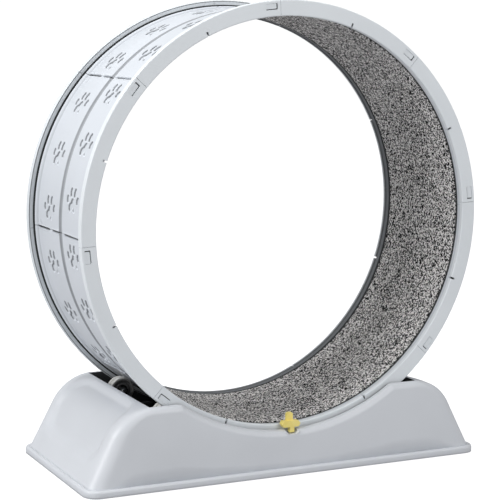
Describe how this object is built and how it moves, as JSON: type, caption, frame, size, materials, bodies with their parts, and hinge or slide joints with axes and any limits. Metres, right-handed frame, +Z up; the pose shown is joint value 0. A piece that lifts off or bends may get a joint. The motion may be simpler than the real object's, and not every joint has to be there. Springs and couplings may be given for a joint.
{
  "type": "cat exercise wheel",
  "caption": "Free-standing pet running wheel: a carpeted drum turning on rollers in a hollow base, with a lift-out lock key.",
  "frame": {"origin": "on the floor under the middle of the base", "axes": "+X along the base, -Y to the front where the lock key is, +Z up; the drum turns about +Y"},
  "size_m": [0.801, 0.361, 0.8615],
  "materials": {
    "panel_plastic": "satin moulded",
    "rim_plastic": "satin moulded",
    "mat_carpet": "speckled short pile",
    "mat_foam": "closed-cell foam",
    "roller_tyre": "soft matt",
    "roller_hub": "matt moulded",
    "bearing_steel": "oiled steel",
    "fastener_steel": "zinc plated",
    "carrier_plastic": "matt moulded",
    "base_plastic": "satin moulded",
    "foot_rubber": "matt",
    "key_plastic": "satin moulded"
  },
  "bodies": {
    "base": {"bearing_inner_rings": "bearing_steel", "axle_spacers": "fastener_steel", "axle_bolts": "fastener_steel", "axle_nuts": "fastener_steel", "roller_carrier_left": "carrier_plastic", "roller_carrier_right": "carrier_plastic", "carrier_screws": "fastener_steel", "base_shell": "base_plastic", "rubber_feet": "foot_rubber"},
    "drum": {"track_panel_1": "panel_plastic", "front_rim_1": "rim_plastic", "rear_rim_1": "rim_plastic", "track_panel_2": "panel_plastic", "front_rim_2": "rim_plastic", "rear_rim_2": "rim_plastic", "track_panel_3": "panel_plastic", "front_rim_3": "rim_plastic", "rear_rim_3": "rim_plastic", "track_panel_4": "panel_plastic", "front_rim_4": "rim_plastic", "rear_rim_4": "rim_plastic", "track_panel_5": "panel_plastic", "front_rim_5": "rim_plastic", "rear_rim_5": "rim_plastic", "track_panel_6": "panel_plastic", "front_rim_6": "rim_plastic", "rear_rim_6": "rim_plastic", "track_panel_7": "panel_plastic", "front_rim_7": "rim_plastic", "rear_rim_7": "rim_plastic", "track_panel_8": "panel_plastic", "front_rim_8": "rim_plastic", "rear_rim_8": "rim_plastic", "mat_backing": "mat_foam", "mat_pile": "mat_carpet"},
    "roller_front_left": {"roller_front_left_tyre": "roller_tyre", "roller_front_left_hub": "roller_hub", "roller_front_left_bearings": "bearing_steel"},
    "roller_front_right": {"roller_front_right_tyre": "roller_tyre", "roller_front_right_hub": "roller_hub", "roller_front_right_bearings": "bearing_steel"},
    "roller_rear_left": {"roller_rear_left_tyre": "roller_tyre", "roller_rear_left_hub": "roller_hub", "roller_rear_left_bearings": "bearing_steel"},
    "roller_rear_right": {"roller_rear_right_tyre": "roller_tyre", "roller_rear_right_hub": "roller_hub", "roller_rear_right_bearings": "bearing_steel"},
    "lock": {"lock_key": "key_plastic"}
  },
  "joints": [
    {"name": "drum_spin", "type": "hinge", "parent": "base", "child": "drum", "pos_m": [0, 0, 0.4615], "axis": [0, 1, 0], "continuous": true},
    {"name": "roller_front_left_spin", "type": "hinge", "parent": "base", "child": "roller_front_left", "pos_m": [-0.22621, -0.109, 0.12039], "axis": [0, 1, 0], "continuous": true},
    {"name": "roller_front_right_spin", "type": "hinge", "parent": "base", "child": "roller_front_right", "pos_m": [0.22621, -0.109, 0.12039], "axis": [0, 1, 0], "continuous": true},
    {"name": "roller_rear_left_spin", "type": "hinge", "parent": "base", "child": "roller_rear_left", "pos_m": [-0.22621, 0.109, 0.12039], "axis": [0, 1, 0], "continuous": true},
    {"name": "roller_rear_right_spin", "type": "hinge", "parent": "base", "child": "roller_rear_right", "pos_m": [0.22621, 0.109, 0.12039], "axis": [0, 1, 0], "continuous": true},
    {"name": "lock_lift", "type": "slide", "parent": "base", "child": "lock", "axis": [0, 0, 1], "range_m": [0, 0.03]}
  ],
  "couplings": [
    {"joint": "roller_front_left_spin", "follows": "drum_spin", "ratio": -16.042},
    {"joint": "roller_front_right_spin", "follows": "drum_spin", "ratio": -16.042},
    {"joint": "roller_rear_left_spin", "follows": "drum_spin", "ratio": -16.042},
    {"joint": "roller_rear_right_spin", "follows": "drum_spin", "ratio": -16.042}
  ]
}
